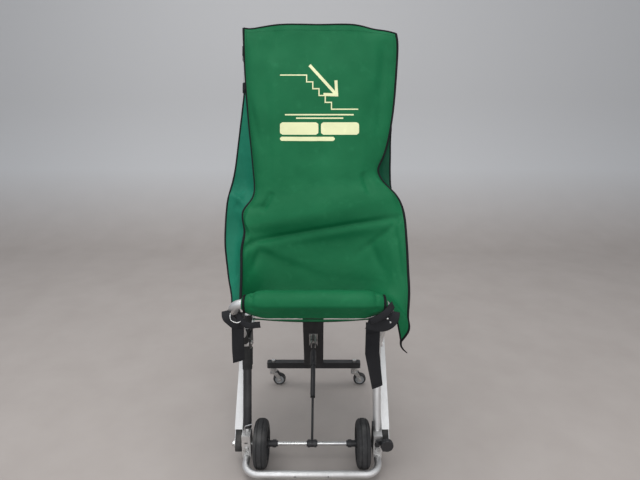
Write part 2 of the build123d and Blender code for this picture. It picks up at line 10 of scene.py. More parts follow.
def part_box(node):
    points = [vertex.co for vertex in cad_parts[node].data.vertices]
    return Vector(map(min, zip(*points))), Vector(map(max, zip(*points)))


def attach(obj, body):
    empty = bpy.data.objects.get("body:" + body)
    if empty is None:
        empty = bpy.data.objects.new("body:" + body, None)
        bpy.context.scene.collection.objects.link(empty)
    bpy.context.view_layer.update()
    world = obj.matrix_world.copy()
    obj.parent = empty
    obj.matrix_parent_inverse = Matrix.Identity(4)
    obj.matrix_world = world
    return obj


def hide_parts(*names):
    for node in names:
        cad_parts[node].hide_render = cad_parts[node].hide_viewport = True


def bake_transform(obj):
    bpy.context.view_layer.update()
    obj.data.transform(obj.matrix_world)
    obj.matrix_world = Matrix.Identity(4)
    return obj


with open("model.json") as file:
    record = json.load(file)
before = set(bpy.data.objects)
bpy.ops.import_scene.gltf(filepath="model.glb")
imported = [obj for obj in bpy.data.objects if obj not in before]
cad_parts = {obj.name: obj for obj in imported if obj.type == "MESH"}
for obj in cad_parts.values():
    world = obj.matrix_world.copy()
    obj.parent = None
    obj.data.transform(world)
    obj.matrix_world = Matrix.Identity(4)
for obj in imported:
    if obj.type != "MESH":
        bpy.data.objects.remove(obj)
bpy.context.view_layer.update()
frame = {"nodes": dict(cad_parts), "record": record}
NODES = frame["nodes"]
SCENE = bpy.context.scene
SCENE.view_settings.view_transform = "Standard"


# Shader helpers
def new_material(name, roughness=0.5, metallic=0.0, **sockets):
    """A material with its even values set on the shader's own sockets."""
    material = bpy.data.materials.new(name)
    material.use_nodes = True
    shader = material.node_tree.nodes["Principled BSDF"]
    shader.inputs["Roughness"].default_value = roughness
    shader.inputs["Metallic"].default_value = metallic
    for socket, value in sockets.items():
        shader.inputs[socket.replace("_", " ")].default_value = value
    return material, material.node_tree, shader


def add_node(tree, kind, inputs=None, **settings):
    node = tree.nodes.new(kind)
    for key, value in settings.items():
        setattr(node, key, value)
    for key, value in (inputs or {}).items():
        if isinstance(value, bpy.types.NodeSocket):
            tree.links.new(value, node.inputs[key])
        else:
            node.inputs[key].default_value = value
    return node


def object_space(tree, scale=(1, 1, 1), source="Object"):
    coords = add_node(tree, "ShaderNodeTexCoord")
    return add_node(tree, "ShaderNodeMapping", {"Vector": coords.outputs[source], "Scale": scale}).outputs[0]


def grain(tree, scale, detail=3.0, stretch=(1, 1, 1), roughness=0.55, source="Object"):
    """Noise between 0 and 1."""
    place = object_space(tree, stretch, source)
    inputs = {"Vector": place, "Scale": scale, "Detail": detail, "Roughness": roughness}
    return add_node(tree, "ShaderNodeTexNoise", inputs).outputs["Fac"]


def spread(tree, value, low, high, start=0.3, end=0.7):
    """The value moved from start..end to low..high."""
    inputs = {"Value": value, "From Min": start, "From Max": end, "To Min": low, "To Max": high}
    return add_node(tree, "ShaderNodeMapRange", inputs).outputs[0]


def blend_colours(tree, factor, first, second):
    node = add_node(tree, "ShaderNodeMix", data_type="RGBA")
    tree.links.new(factor, node.inputs[0])
    for socket, value in ((node.inputs[6], first), (node.inputs[7], second)):
        if isinstance(value, bpy.types.NodeSocket):
            tree.links.new(value, socket)
        else:
            socket.default_value = (*value, 1)
    return node.outputs[2]


def raise_surface(tree, shader, height, strength, distance):
    inputs = {"Height": height, "Strength": strength, "Distance": distance}
    bump = add_node(tree, "ShaderNodeBump", inputs)
    if shader.inputs["Normal"].links:
        tree.links.new(shader.inputs["Normal"].links[0].from_socket, bump.inputs["Normal"])
    tree.links.new(bump.outputs[0], shader.inputs["Normal"])


def metal(name, colour, dull, rough, stretch, scratch=0.25):
    """Bare metal with drawn grain, smudges and fine scratches."""
    material, tree, shader = new_material(name, metallic=1.0)
    smudge = grain(tree, 9, 4)
    lines = grain(tree, 260, 2, stretch)
    tone = blend_colours(tree, spread(tree, smudge, 0, 1), colour, dull)
    fleck = spread(tree, grain(tree, 900, 1, (1, 1, 0.06)), 0, scratch, 0.62, 0.72)
    scratched = blend_colours(tree, fleck, tone, tuple(0.55 * c for c in colour))
    tree.links.new(scratched, shader.inputs["Base Color"])
    mixed = add_node(tree, "ShaderNodeMath", {0: lines, 1: smudge}, operation="ADD").outputs[0]
    tree.links.new(spread(tree, mixed, rough - 0.08, rough + 0.14, 0.7, 1.3), shader.inputs["Roughness"])
    raise_surface(tree, shader, lines, 0.25, 0.0003)
    raise_surface(tree, shader, grain(tree, 40, 2), 0.15, 0.0006)
    return material


def moulded(name, colour, worn, rough, size, depth, wear=0.6):
    """Plastic, rubber or paint with a fine moulded texture, and paler rubbed and dusty places."""
    material, tree, shader = new_material(name)
    rubbed = spread(tree, grain(tree, 14, 6), 0, wear, 0.5, 0.78)
    tone = blend_colours(tree, rubbed, colour, worn)
    speck = spread(tree, grain(tree, 420, 2), 0, 0.5, 0.6, 0.75)
    tree.links.new(blend_colours(tree, speck, tone, worn), shader.inputs["Base Color"])
    tree.links.new(spread(tree, grain(tree, 30, 4), rough - 0.1, rough + 0.1), shader.inputs["Roughness"])
    raise_surface(tree, shader, grain(tree, size, 2), 0.5, depth)
    return material


def weave(name, colour, shade, rough, pitch, depth, source="UV", sheen=0.0):
    """Woven cloth: crossing yarns, slow changes of tone and a few rubbed places."""
    material, tree, shader = new_material(name, Sheen_Weight=sheen, Sheen_Roughness=0.4,
                                          Specular_IOR_Level=0.12)
    slow = grain(tree, 7, 4)
    cloudy = grain(tree, 34, 3)
    tone = blend_colours(tree, spread(tree, slow, 0, 1, 0.32, 0.68), colour, shade)
    rubbed = spread(tree, cloudy, 0, 0.3, 0.58, 0.8)
    paler = tuple(min(1.0, 1.35 * c + 0.012) for c in colour)
    tree.links.new(blend_colours(tree, rubbed, tone, paler), shader.inputs["Base Color"])
    yarns = []
    for direction in ("X", "Y"):
        inputs = {"Vector": object_space(tree, (1, 1, 1), source), "Scale": 0.314 / pitch, "Distortion": 0.6}
        inputs["Detail"] = 1.0
        wave = add_node(tree, "ShaderNodeTexWave", inputs, bands_direction=direction)
        yarns.append(wave.outputs["Fac"])
    cross = add_node(tree, "ShaderNodeMath", {0: yarns[0], 1: yarns[1]}, operation="MULTIPLY").outputs[0]
    tree.links.new(spread(tree, slow, rough - 0.06, rough + 0.08), shader.inputs["Roughness"])
    raise_surface(tree, shader, cross, 0.35, depth)
    raise_surface(tree, shader, cloudy, 0.3, 0.0012)
    return material


MATERIALS = {
    "aluminium": metal("satin_aluminium", (0.76, 0.755, 0.75), (0.62, 0.615, 0.61), 0.50, (1, 1, 0.05)),
    "cast_aluminium": metal("tumbled_aluminium", (0.82, 0.81, 0.80), (0.62, 0.615, 0.61), 0.45, (1, 1, 1), 0.4),
    "steel": metal("zinc_steel", (0.66, 0.66, 0.64), (0.45, 0.45, 0.46), 0.30, (1, 0.2, 1)),
    "black_paint": moulded("black_powder_coat", (0.012, 0.012, 0.013), (0.06, 0.06, 0.06), 0.42, 300, 0.0005, 0.4),
    "black_plastic": moulded("black_moulded", (0.016, 0.016, 0.018), (0.07, 0.07, 0.07), 0.5, 700, 0.0004),
    "black_foam": moulded("black_foam", (0.014, 0.014, 0.014), (0.05, 0.05, 0.05), 0.85, 520, 0.0012),
    "tyre": moulded("tyre_rubber", (0.022, 0.022, 0.023), (0.12, 0.115, 0.11), 0.75, 260, 0.0006, 0.7),
    "belt": moulded("belt_rubber", (0.02, 0.02, 0.02), (0.14, 0.13, 0.12), 0.8, 340, 0.0006, 0.8),
    "grey_plastic": moulded("grey_moulded", (0.33, 0.34, 0.35), (0.2, 0.2, 0.2), 0.45, 500, 0.0003),
    "green_fabric": weave("coated_green", (0.007, 0.128, 0.048), (0.004, 0.104, 0.038), 0.50, 0.0011, 0.0004),
    "webbing": weave("black_webbing", (0.012, 0.012, 0.014), (0.024, 0.024, 0.026), 0.75, 0.0024, 0.0012),
}
REVERSE = weave("teal_reverse", (0.008, 0.150, 0.088), (0.005, 0.118, 0.068), 0.5, 0.0011, 0.0004)
# Darker copy of the green cloth: painted shade for the right side flap, which sits in shade
SHADED = weave("green_painted_shade", (0.006, 0.070, 0.035), (0.004, 0.055, 0.027), 0.6, 0.0011, 0.0004)
BINDING = weave("black_binding", (0.004, 0.004, 0.005), (0.010, 0.010, 0.011), 0.6, 0.0016, 0.0006, "Object")
THREAD = weave("green_thread", (0.01, 0.11, 0.05), (0.02, 0.17, 0.08), 0.6, 0.0008, 0.0004, "Object")
INK = weave("cream_ink", (0.74, 0.76, 0.46), (0.66, 0.68, 0.40), 0.6, 0.0011, 0.0003, "Object")

for entry in frame["record"]["subparts"]:
    data = NODES[entry["node"]].data
    data.materials.clear()
    data.materials.append(MATERIALS[entry["material_slot"]])
NODES["seat_lugs"].data.materials[0] = MATERIALS["black_paint"]


# Mesh helpers
def millimetres(points):
    return np.array(points, float) / 1000


def cubic(values, count):
    """Smooth line through the values, sampled evenly along it."""
    p = np.array(values, float)
    n = len(p)
    steps = np.maximum(np.linalg.norm(np.diff(p.reshape(n, -1), axis=0), axis=1), 1e-9)
    t = np.r_[0, np.cumsum(np.sqrt(steps))]
    h = np.diff(t)
    flat = p.reshape(n, -1)
    a = np.zeros((n, n))
    b = np.zeros_like(flat)
    a[0, 0] = a[-1, -1] = 1
    for i in range(1, n - 1):
        a[i, i - 1], a[i, i], a[i, i + 1] = h[i - 1], 2 * (h[i - 1] + h[i]), h[i]
        b[i] = 6 * ((flat[i + 1] - flat[i]) / h[i] - (flat[i] - flat[i - 1]) / h[i - 1])
    m = np.linalg.solve(a, b)
    s = np.linspace(0, t[-1], count)
    k = np.clip(np.searchsorted(t, s, side="right") - 1, 0, n - 2)
    u, w = (s - t[k])[:, None], (t[k + 1] - s)[:, None]
    d = h[k][:, None]
    line = (m[k] * w ** 3 + m[k + 1] * u ** 3) / (6 * d)
    line += (flat[k] / d - m[k] * d / 6) * w + (flat[k + 1] / d - m[k + 1] * d / 6) * u
    return line.reshape((count,) + p.shape[1:])


def even(line, count):
    """The same line with evenly spaced points."""
    line = np.array(line, float)
    length = np.r_[0, np.cumsum(np.linalg.norm(np.diff(line, axis=0), axis=1))]
    wanted = np.linspace(0, length[-1], count)
    return np.stack([np.interp(wanted, length, line[:, k]) for k in range(3)], axis=1)


def surface(net, rows, columns):
    """Smooth grid through a net of points."""
    lines = cubic(np.array(net, float), rows)
    return np.array([cubic(line, columns) for line in lines])


def normals_of(grid):
    along = np.gradient(grid, axis=0)
    across = np.gradient(grid, axis=1)
    n = np.cross(along, across)
    return n / np.maximum(np.linalg.norm(n, axis=2, keepdims=True), 1e-12)


def make_object(name, points, faces, material, uvs=None):
    mesh = bpy.data.meshes.new(name)
    mesh.from_pydata([tuple(map(float, v)) for v in points], [], faces)
    if uvs is not None:
        layer = mesh.uv_layers.new(name="UVMap")
        index = np.empty(len(mesh.loops), np.int64)
        mesh.loops.foreach_get("vertex_index", index)
        layer.data.foreach_set("uv", np.array(uvs, np.float32)[index].ravel())
    mesh.polygons.foreach_set("use_smooth", [True] * len(mesh.polygons))
    mesh.materials.append(material)
    thing = bpy.data.objects.new(name, mesh)
    SCENE.collection.objects.link(thing)
    return thing


def shell(name, grid, thickness, material, back=None):
    """Closed sheet of cloth: a front grid, a back grid and the edge between them."""
    rows, columns = grid.shape[:2]
    n = normals_of(grid)
    front = (grid + n * thickness / 2).reshape(-1, 3)
    rear = (grid - n * thickness / 2).reshape(-1, 3)
    size = rows * columns
    index = np.arange(size).reshape(rows, columns)
    faces = []
    for i in range(rows - 1):
        for j in range(columns - 1):
            a, b, c, d = index[i, j], index[i + 1, j], index[i + 1, j + 1], index[i, j + 1]
            faces.append((a, b, c, d))
            faces.append((d + size, c + size, b + size, a + size))
    rim = [*index[0, :], *index[1:, -1], *index[-1, -2::-1], *index[-2:0:-1, 0]]
    for a, b in zip(rim, rim[1:] + rim[:1]):
        faces.append((a, b, b + size, a + size))
    u = np.r_[0, np.cumsum(np.linalg.norm(np.diff(grid[:, columns // 2], axis=0), axis=1))]
    v = np.r_[0, np.cumsum(np.linalg.norm(np.diff(grid[rows // 2], axis=0), axis=1))]
    flat = np.stack(np.meshgrid(v, u), axis=-1).reshape(-1, 2)
    faces = [tuple(map(int, face)) for face in faces]
    thing = make_object(name, np.r_[front, rear], faces, material, np.r_[flat, flat])
    if back is not None:
        thing.data.materials.append(back)
        for face in thing.data.polygons:
            face.material_index = int(min(face.vertices) >= size)
    return thing


def tube(name, line, radius, material, sides=10, squash=(1, 1), up=(0, 0, 1)):
    """Round or flattened solid tube along a line, with closed ends."""
    line = np.array(line, float)
    count = len(line)
    radii = np.broadcast_to(np.array(radius, float), (count,))
    forward = np.gradient(line, axis=0)
    forward /= np.linalg.norm(forward, axis=1, keepdims=True)
    side = np.cross(forward[0], up)
    if np.linalg.norm(side) < 1e-6:
        side = np.cross(forward[0], (1, 0, 0))
    points = []
    for i in range(count):
        side = side - forward[i] * (side @ forward[i])
        side /= np.linalg.norm(side)
        other = np.cross(forward[i], side)
        for k in range(sides):
            a = 2 * math.pi * k / sides
            offset = side * math.cos(a) * squash[0] + other * math.sin(a) * squash[1]
            points.append(line[i] + offset * radii[i])
    faces = []
    for i in range(count - 1):
        for k in range(sides):
            a, b = i * sides + k, i * sides + (k + 1) % sides
            faces.append((a, b, b + sides, a + sides))
    faces.append(tuple(range(sides))[::-1])
    faces.append(tuple(range((count - 1) * sides, count * sides)))
    return make_object(name, points, faces, material)


def join(name, things):
    """One object out of several."""
    bpy.ops.object.select_all(action="DESELECT")
    for thing in things:
        thing.select_set(True)
    bpy.context.view_layer.objects.active = things[0]
    bpy.ops.object.join()
    things[0].name = things[0].data.name = name
    return things[0]


def soft_noise(point, scale, seed):
    return noise.noise(Vector((point[0] * scale + seed, point[1] * scale, point[2] * scale - seed)))


# Hammock: one length of coated cloth from the top of the back down to the front roll.
# Rows run down the cloth; columns run from the right-hand edge of the sitter to the left-hand one.
NET = [
    [(-212, 152, 1328), (-190, 154, 1326), (-110, 154, 1337), (25, 154, 1338), (135, 154, 1337), (190, 154, 1325),
     (232, 153, 1319), (261, 152, 1312)],
    [(-211, 142, 1300), (-185, 141, 1300), (-110, 140, 1300), (25, 139, 1300), (135, 140, 1300), (195, 141, 1298),
     (235, 143, 1293), (265, 143, 1286)],
    [(-209, 131, 1240), (-182, 119, 1240), (-110, 116, 1240), (25, 115, 1240), (135, 116, 1240), (197, 119, 1236),
     (238, 127, 1230), (265, 133, 1232)],
    [(-205, 106, 1157), (-180, 88, 1152), (-110, 82, 1150), (25, 80, 1150), (135, 82, 1150), (195, 88, 1146),
     (234, 97, 1142), (258, 103, 1139)],
    [(-196, 73, 1050), (-174, 52, 1050), (-110, 44, 1050), (25, 42, 1050), (135, 44, 1050), (185, 50, 1046),
     (222, 58, 1040), (244, 66, 1034)],
    [(-185, 38, 960), (-168, 18, 958), (-110, 8, 957), (25, 2, 955), (135, 6, 955), (170, 14, 952),
     (200, 24, 948), (219, 32, 946)],
    [(-179, 16, 906), (-160, -4, 904), (-105, -16, 902), (25, -24, 900), (130, -20, 902), (162, -8, 902),
     (188, 6, 902), (203, 16, 906)],
    [(-174, -8, 858), (-158, -24, 856), (-105, -38, 852), (25, -48, 850), (130, -44, 856), (170, -34, 862),
     (204, -16, 868), (224, -3, 869)],
    [(-184, -34, 823), (-168, -50, 816), (-110, -62, 806), (25, -70, 806), (130, -68, 816), (185, -58, 828),
     (228, -46, 838), (256, -36, 838)],
    [(-206, -60, 792), (-186, -74, 776), (-115, -82, 762), (25, -86, 768), (135, -88, 782), (200, -86, 792),
     (244, -84, 798), (272, -80, 798)],
    [(-199, -88, 748), (-184, -92, 738), (-120, -90, 724), (25, -88, 728), (135, -94, 742), (208, -106, 752),
     (250, -122, 754), (273, -128, 752)],
    [(-201, -132, 712), (-186, -128, 698), (-125, -108, 684), (25, -100, 684), (138, -108, 690), (212, -136, 700),
     (252, -162, 704), (272, -172, 702)],
    [(-197, -182, 674), (-183, -172, 654), (-128, -132, 636), (25, -121, 634), (142, -132, 636), (213, -168, 646),
     (250, -198, 652), (271, -208, 652)],
    [(-190, -236, 646), (-179, -218, 620), (-134, -156, 592), (25, -142, 588), (144, -156, 590), (208, -214, 608),
     (244, -240, 606), (269, -246, 600)],
    [(-187, -266, 628), (-178, -242, 604), (-140, -184, 566), (25, -168, 561), (144, -184, 566), (200, -244, 604),
     (238, -264, 584), (265, -266, 552)],
    [(-185, -285, 618), (-177, -262, 605), (-145, -214, 562), (25, -204, 556), (148, -214, 562), (198, -264, 607),
     (236, -278, 582), (267, -274, 534)],
    [(-184, -293, 615), (-176, -278, 606), (-142, -246, 574), (25, -240, 568), (150, -246, 574), (198, -278, 611),
     (232, -284, 574), (266, -279, 514)],
    [(-183, -298, 612), (-174, -290, 606), (-138, -281, 600), (25, -280, 600), (158, -281, 600), (198, -290, 613),
     (227, -286, 566), (247, -281, 484)],
]
CLOTH = 0.0016
WEBBING = 0.0021
BINDING_R = 0.0036
TAIL_POINTS = 24
ROWS, COLUMNS = 190, 96


def crease(x, z, x0, z0, x1, z1, width, depth):
    """Straight groove in the cloth between two points of the front view, fading towards its ends."""
    length = math.hypot(x1 - x0, z1 - z0)
    ux, uz = (x1 - x0) / length, (z1 - z0) / length
    along = ((x - x0) * ux + (z - z0) * uz) / length
    off = ((x - x0) * -uz + (z - z0) * ux) / width
    fade = np.clip(4 * along * (1 - along), 0, 1) ** 0.7
    return -depth * fade * np.exp(-off ** 2)


def folds(grid):
    """How far the slack cloth stands forward of its smooth shape, in metres."""
    x, z = grid[:, :, 0] * 1000, grid[:, :, 2] * 1000
    v = np.linspace(0, 1, ROWS)[:, None] * np.ones((1, COLUMNS))
    u = np.linspace(0, 1, COLUMNS)[None, :] * np.ones((ROWS, 1))
    slack = np.clip((v - 0.30) / 0.14, 0, 1) * np.clip((0.80 - v) / 0.10, 0, 1)
    edge = np.clip(np.minimum(u, 1 - u) / 0.07, 0, 1)
    first = z - (747 + 0.178 * (x - 25))
    rise = 14 * np.exp(-((first - 50) / np.where(first > 50, 58, 30)) ** 2) - 7 * np.exp(-(first / 8) ** 2)
    rise += 5 * np.exp(-((first + 20) / 15) ** 2)
    second = z - np.interp(x, [-190, -100, 40, 150, 230], [716, 668, 614, 590, 586])
    rise += 9 * np.exp(-(np.maximum(second, 0) / 55) ** 2) / (1 + np.exp(-second / 5)) * (x < 235)
    third = z - (790 - 0.85 * (268 - x))
    rise -= 6 * np.exp(-(third / 10) ** 2) * np.clip((x - 110) / 70, 0, 1) * (first < 10)
    rise = rise * slack * edge
    grooves = [
        (-150, 1290, -128, 850, 17, 6), (152, 905, 178, 838, 11, 9), (-150, 790, -118, 850, 9, 9),
        (-186, 800, -128, 812, 8, 6), (18, 1010, 40, 930, 14, 2.5), (120, 1330, 190, 1180, 26, 4),
        (225, 1290, 205, 1010, 15, 5), (-196, 1120, -150, 960, 12, 4), (90, 900, 170, 850, 16, 4),
        (-60, 900, 40, 860, 20, 2.5), (210, 1180, 160, 1020, 18, 3), (-105, 1330, -120, 1220, 18, 4),
        (238, 790, 255, 640, 9, 4), (-150, 700, -172, 640, 10, 5), (170, 720, 205, 640, 12, 4),
    ]
    for groove in grooves:
        rise = rise + crease(x, z, *groove)
    for i in range(ROWS):
        for j in range(COLUMNS):
            p = grid[i, j]
            rise[i, j] += 3.2 * soft_noise(p, 8, 3.1) + 1.3 * soft_noise(p, 21, 7.7) + 0.35 * soft_noise(p, 70, 1.3)
    hem = np.clip(v / 0.03, 0, 1) * np.clip((1 - v) / 0.05, 0, 1) * (0.25 + 0.75 * edge)
    return rise * hem / 1000


base = surface(millimetres(NET), ROWS, COLUMNS)
outward = normals_of(base)
if outward[ROWS // 4, COLUMNS // 2, 1] > 0:
    outward = -outward
cloth = base + outward * folds(base)[:, :, None]
hammock = shell("hammock", cloth, CLOTH, MATERIALS["green_fabric"], REVERSE)


def follow_fold(thing):
    """For cloth that crosses from the main frame to the seat frame: only bakes its transform into the mesh."""
    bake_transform(thing)
    return thing


# Black binding along the hammock's edges
edge_left = even(cloth[:, 0], 260)
edge_right = even(cloth[:, -1], 300)
tail = millimetres([(248, -283, 470), (256, -285, 458), (265, -286, 450)])
edge_right = np.r_[edge_right, even(cubic(np.r_[edge_right[-1:], tail], TAIL_POINTS), TAIL_POINTS)[1:]]
taper = np.r_[np.full(len(edge_right) - TAIL_POINTS, BINDING_R), np.linspace(BINDING_R, 0.0013, TAIL_POINTS)]
bindings = [
    tube("binding_a", edge_left, BINDING_R, BINDING, squash=(1, 0.7)),
    tube("binding_b", edge_right, taper, BINDING),
    tube("binding_c", even(cloth[0], 120), 0.0026, BINDING),
    tube("binding_d", even(cloth[-1, int(COLUMNS * 0.86):], 30), 0.0024, BINDING),
]

# Side flaps: the cloth's teal reverse, sewn to the binding and spread outward
LEFT_FLAP = [
    [(-206, 108, 1157), (-207, 108, 1154), (-209, 107, 1150)],
    [(-196, 75, 1050), (-208, 76, 1049), (-221, 76, 1048)],
    [(-185, 40, 960), (-208, 46, 959), (-232, 47, 957)],
    [(-179, 18, 906), (-208, 32, 904), (-239, 29, 905)],
    [(-174, -6, 858), (-208, 18, 858), (-247, 10, 866)],
    [(-184, -32, 823), (-214, -14, 832), (-255, -24, 828)],
    [(-206, -58, 792), (-230, -42, 796), (-258, -44, 796)],
    [(-200, -86, 748), (-226, -62, 752), (-259, -70, 752)],
    [(-202, -130, 712), (-224, -104, 706), (-255, -108, 702)],
    [(-198, -180, 674), (-218, -152, 662), (-246, -142, 660)],
    [(-191, -234, 646), (-206, -206, 630), (-231, -196, 618)],
    [(-187, -268, 626), (-198, -254, 614), (-219, -240, 602)],
    [(-186, -286, 612), (-197, -278, 598), (-213, -272, 582)],
]
RIGHT_FLAP = [
    [(246, 70, 1040), (246, 70, 1038), (246, 71, 1036)],
    [(232, 52, 990), (238, 60, 988), (245, 62, 985)],
    [(216, 31, 944), (229, 50, 944), (245, 52, 942)],
    [(203, 18, 906), (224, 42, 906), (244, 38, 906)],
    [(223, -1, 869), (234, 20, 868), (244, 18, 868)],
    [(256, -34, 838), (252, -12, 838), (245, -4, 836)],
    [(271, -78, 798), (262, -50, 794), (252, -44, 790)],
    [(271, -126, 752), (264, -104, 746), (256, -100, 742)],
    [(270, -170, 702), (266, -158, 698), (262, -156, 694)],
]
# The right flap takes the darker green on both faces as painted shade
FLAP_SIDES = {"side_flap_a": (MATERIALS["green_fabric"], REVERSE), "side_flap_b": (SHADED, SHADED)}
for name, net, seed in (("side_flap_a", LEFT_FLAP, 2.2), ("side_flap_b", RIGHT_FLAP, 5.9)):
    flap = surface(millimetres(net), 110, 26)
    lift = normals_of(flap)
    for i in range(110):
        for j in range(26):
            p = flap[i, j]
            free = min(1.0, 3.0 * j / 25)
            wave = 2.6 * soft_noise(p, 16, seed) + 1.0 * soft_noise(p, 45, seed)
            kink = crease(p[0] * 1000, p[2] * 1000, -252, 838, -180, 800, 8, 9)
            kink += crease(p[0] * 1000, p[2] * 1000, -240, 806, -200, 846, 7, 5)
            flap[i, j] = p + lift[i, j] * (wave + kink) * free / 1000
    sheet = shell(name, flap, CLOTH, *FLAP_SIDES[name])
    follow_fold(sheet)
    rim = follow_fold(tube(name + "_binding", even(flap[:, -1], 160), 0.0027, BINDING))

binding = follow_fold(join("binding", bindings))

# Stitches beside the binding
stitches = []


def stitch_row(line, lift, pitch=0.0075, length=0.0042):
    """Short threads along a line, a little above the cloth."""
    line = even(line, 400)
    total = np.linalg.norm(np.diff(line, axis=0), axis=1).sum()
    count = int(total / pitch)
    path = even(line, count * 2 + 1)
    points, faces = [], []
    for i in range(count):
        a, b = path[2 * i], path[2 * i + 1]
        middle, step = (a + b) / 2, (b - a) / np.linalg.norm(b - a) * length / 2
        side = np.cross(step, lift)
        side = side / np.linalg.norm(side) * 0.0005
        up = np.array(lift) * 0.0011
        start = len(points)
        points += [middle - step - side, middle - step + side, middle + step + side, middle + step - side,
                   middle - step * 0.6 + up, middle + step * 0.6 + up]
        faces += [(start, start + 1, start + 4), (start + 1, start + 2, start + 5, start + 4),
                  (start + 2, start + 3, start + 5), (start + 3, start, start + 4, start + 5),
                  (start + 3, start + 2, start + 1, start)]
    return make_object("stitch", points, faces, THREAD)


facing = normals_of(cloth)
if facing[ROWS // 4, COLUMNS // 2, 1] > 0:
    facing = -facing
for column in (3, COLUMNS - 4):
    stitches.append(stitch_row(cloth[:, column] + facing[:, column] * 0.0009, (0, -0.8, 0.6)))
stitches.append(stitch_row(cloth[4] + facing[4] * 0.0009, (0, -0.93, 0.35)))
follow_fold(join("stitching", stitches))

# Generic print on the back: a stair line with a plain arrow, and blank label shapes
cells = [(i * COLUMNS + j, i * COLUMNS + j + 1, (i + 1) * COLUMNS + j + 1, (i + 1) * COLUMNS + j)
         for i in range(ROWS - 1) for j in range(COLUMNS - 1)]
front = BVHTree.FromPolygons([tuple(v) for v in cloth.reshape(-1, 3)], cells)


def laid(points):
    """Points of the front view, in millimetres, laid on the cloth."""
    found = []
    for x, z in points:
        hit = front.ray_cast(Vector((x / 1000, -0.6, z / 1000)), Vector((0, 1, 0)))[0]
        found.append(hit + Vector((0, -0.0013, 0.0003)))
    return found


def patch(x0, z0, x1, z1, corner=0.0):
    """Plain printed rectangle, with rounded corners if asked."""
    nx, nz = max(2, int(abs(x1 - x0) / 5) + 1), max(2, int(abs(z1 - z0) / 5) + 1)
    points = []
    for i in range(nz + 1):
        z = z0 + (z1 - z0) * i / nz
        inset = 0.0
        if corner:
            reach = max(0.0, corner - min(abs(z - z0), abs(z - z1)))
            inset = corner - math.sqrt(max(0.0, corner ** 2 - reach ** 2))
        for j in range(nx + 1):
            points.append((x0 + inset + (x1 - x0 - 2 * inset) * j / nx, z))
    across = nx + 1
    faces = [(i * across + j, i * across + j + 1, (i + 1) * across + j + 1, (i + 1) * across + j)
             for i in range(nz) for j in range(nx)]
    return make_object("patch", laid(points), faces, INK)


def stroke(points, half):
    """Printed line of even width through the points of the front view."""
    parts = []
    for (xa, za), (xb, zb) in zip(points, points[1:]):
        length = math.hypot(xb - xa, zb - za)
        ux, uz = (xb - xa) / length, (zb - za) / length
        steps = max(1, int(length / 5))
        corners = []
        for i in range(steps + 1):
            s = -half + (length + 2 * half) * i / steps
            for side in (-half, half):
                corners.append((xa + ux * s - uz * side, za + uz * s + ux * side))
        faces = [(2 * i, 2 * i + 1, 2 * i + 3, 2 * i + 2) for i in range(steps)]
        parts.append(make_object("stroke", laid(corners), faces, INK))
    return parts


stairs = [(-96, 1188)]
for step in range(5):
    stairs += [(-16 + 19 * step, 1188 - 20 * step), (-16 + 19 * step, 1168 - 20 * step)]
stairs.append((140, 1088))
ink = stroke(stairs, 1.7)
ink += stroke([(-4, 1214), (70, 1136)], 4.5)
ink += stroke([(74, 1168), (76, 1130), (40, 1131)], 4.5)
ink += [patch(-82, 1070, 128, 1074), patch(-48, 1060, 96, 1064)]
ink += [patch(-97, 1014, 20, 1050, 7), patch(28, 1014, 144, 1050, 7), patch(-97, 996, 70, 1008, 5)]
follow_fold(join("printed_panel", ink))

# Loops that hold the hammock to the main tubes
MAIN = {side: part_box("main_tube_" + side) for side in ("left", "right")}


def tube_axis(side, z):
    """Centre of a main tube at a height."""
    low, high = MAIN[side]
    share = (z - low.z) / (high.z - low.z)
    radius = (high.x - low.x) / 2
    y0, y1 = low.y + radius, high.y - radius
    return np.array([(low.x + high.x) / 2, y0 + (y1 - y0) * share, z]), radius


LOOP_HEIGHTS = (1.262, 1.150, 0.965)
TUBE_RISE = np.array([0, 0.292, 0.956])
loops = []
for side in ("left", "right"):
    for z in LOOP_HEIGHTS:
        centre, radius = tube_axis(side, z)
        slope = np.array([0, -0.956, 0.292])
        grid = []
        for k in range(-14, 15):
            across = k * 0.001
            ring = []
            for a in np.linspace(0, 2 * math.pi, 41):
                gap = radius + 0.0022 + 0.0004 * math.sin(3 * a + z * 40)
                point = centre + np.array([math.sin(a) * gap, 0, 0]) + slope * math.cos(a) * gap
                ring.append(point + TUBE_RISE * across)
            grid.append(ring)
        loops.append(shell("loop", np.array(grid), 0.0015, MATERIALS["webbing"]))
loops = join("tube_loops", loops)
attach(loops, "main_frame")

